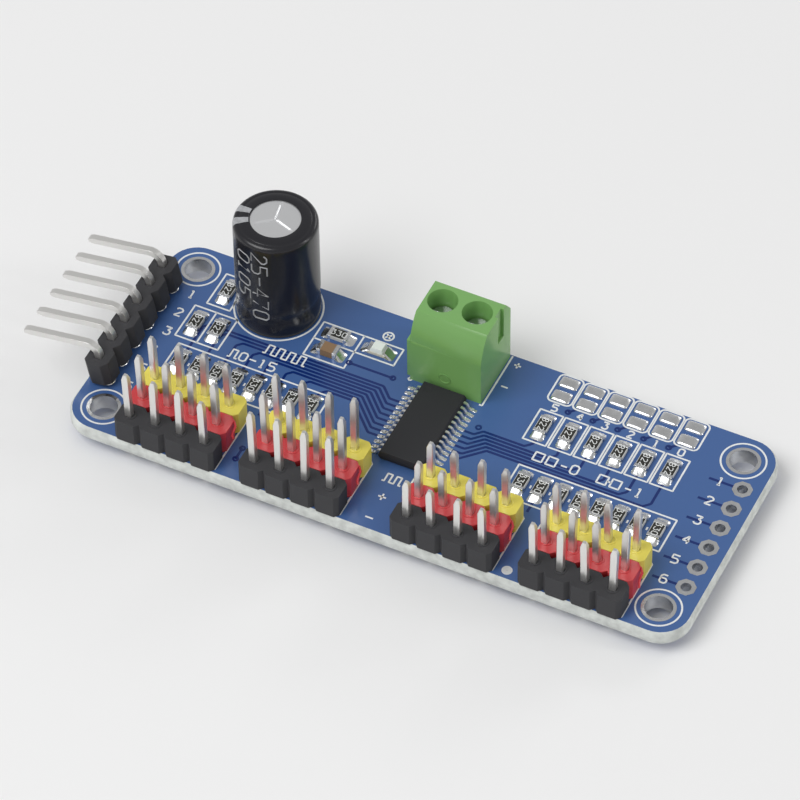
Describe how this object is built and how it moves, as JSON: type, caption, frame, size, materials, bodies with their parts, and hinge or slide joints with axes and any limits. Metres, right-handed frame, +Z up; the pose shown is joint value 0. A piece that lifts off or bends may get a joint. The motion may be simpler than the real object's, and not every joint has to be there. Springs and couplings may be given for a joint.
{
  "type": "servo driver board",
  "caption": "Blue servo driver board with rows of black, red and yellow pin strips, screw terminal, can capacitor and side control header.",
  "frame": {"origin": "centre of the board's underside, midway between the four corner holes", "axes": "+X along the board's long side towards its end of empty plated holes, +Y towards the edge with the screw terminal, +Z up through the parts"},
  "size_m": [0.0688, 0.025, 0.0149],
  "materials": {
    "solder_mask": "semi-gloss blue lacquer over copper and glass laminate",
    "board_print": "matte white screen print",
    "board_edge": "cut glass laminate",
    "strip_black": "satin moulded",
    "strip_red": "satin moulded",
    "strip_yellow": "satin moulded",
    "pin_plating": "bright tin plate over brass",
    "solder": "bright solder",
    "can_aluminium": "satin drawn",
    "sleeve_film": "gloss shrunk film",
    "sleeve_print": "grey print on film",
    "bung_rubber": "matte",
    "wound_foil": "roll of etched foil and paper",
    "terminal_green": "satin moulded",
    "screw_steel": "zinc plate",
    "chip_epoxy": "fine matte moulding",
    "resistor_film": "dark overglaze on white ceramic, tinned ends",
    "ceramic_body": "fired, tinned ends",
    "lamp_lens": "clear lens over white base"
  },
  "bodies": {
    "board": {"circuit_board": "solder_mask", "servo_strip_1_ground": "strip_black", "servo_strip_1_power": "strip_red", "servo_strip_1_signal": "strip_yellow", "servo_strip_2_ground": "strip_black", "servo_strip_2_power": "strip_red", "servo_strip_2_signal": "strip_yellow", "servo_strip_3_ground": "strip_black", "servo_strip_3_power": "strip_red", "servo_strip_3_signal": "strip_yellow", "servo_strip_4_ground": "strip_black", "servo_strip_4_power": "strip_red", "servo_strip_4_signal": "strip_yellow", "control_header_body": "strip_black", "control_header_pin_1": "pin_plating", "control_header_pin_2": "pin_plating", "control_header_pin_3": "pin_plating", "control_header_pin_4": "pin_plating", "control_header_pin_5": "pin_plating", "control_header_pin_6": "pin_plating", "capacitor_can": "can_aluminium", "capacitor_sleeve": "sleeve_film", "capacitor_bung": "bung_rubber", "capacitor_winding": "wound_foil", "terminal_housing": "terminal_green", "terminal_contact_positive": "pin_plating", "terminal_contact_ground": "pin_plating", "driver_chip": "chip_epoxy", "series_resistor_01": "resistor_film", "series_resistor_02": "resistor_film", "series_resistor_03": "resistor_film", "series_resistor_04": "resistor_film", "series_resistor_05": "resistor_film", "series_resistor_06": "resistor_film", "series_resistor_07": "resistor_film", "series_resistor_08": "resistor_film", "series_resistor_09": "resistor_film", "series_resistor_10": "resistor_film", "series_resistor_11": "resistor_film", "series_resistor_12": "resistor_film", "series_resistor_13": "resistor_film", "series_resistor_14": "resistor_film", "series_resistor_15": "resistor_film", "series_resistor_16": "resistor_film", "address_resistor_0": "resistor_film", "address_resistor_1": "resistor_film", "address_resistor_2": "resistor_film", "address_resistor_3": "resistor_film", "address_resistor_4": "resistor_film", "address_resistor_5": "resistor_film", "pullup_resistor_1": "resistor_film", "pullup_resistor_2": "resistor_film", "pullup_resistor_3": "resistor_film", "lamp_resistor": "resistor_film", "ceramic_capacitor": "ceramic_body", "power_lamp": "lamp_lens"},
    "clamp_screw_positive": {"terminal_screw_positive": "screw_steel"},
    "clamp_cage_positive": {"terminal_cage_positive": "screw_steel"},
    "clamp_screw_ground": {"terminal_screw_ground": "screw_steel"},
    "clamp_cage_ground": {"terminal_cage_ground": "screw_steel"}
  },
  "joints": [
    {"name": "screw_turn_positive", "type": "hinge", "parent": "board", "child": "clamp_screw_positive", "pos_m": [-0.00222, 0.00915, 0.0066], "axis": [0, 0, -1], "range_deg": [0, 900]},
    {"name": "cage_rise_positive", "type": "slide", "parent": "board", "child": "clamp_cage_positive", "axis": [0, 0, 1], "range_m": [0, 0.001]},
    {"name": "screw_turn_ground", "type": "hinge", "parent": "board", "child": "clamp_screw_ground", "pos_m": [0.00128, 0.00915, 0.0066], "axis": [0, 0, -1], "range_deg": [0, 900]},
    {"name": "cage_rise_ground", "type": "slide", "parent": "board", "child": "clamp_cage_ground", "axis": [0, 0, 1], "range_m": [0, 0.001]}
  ],
  "couplings": [
    {"joint": "screw_turn_positive", "follows": "cage_rise_positive", "rad_per_m": 15708},
    {"joint": "screw_turn_ground", "follows": "cage_rise_ground", "rad_per_m": 15708}
  ]
}
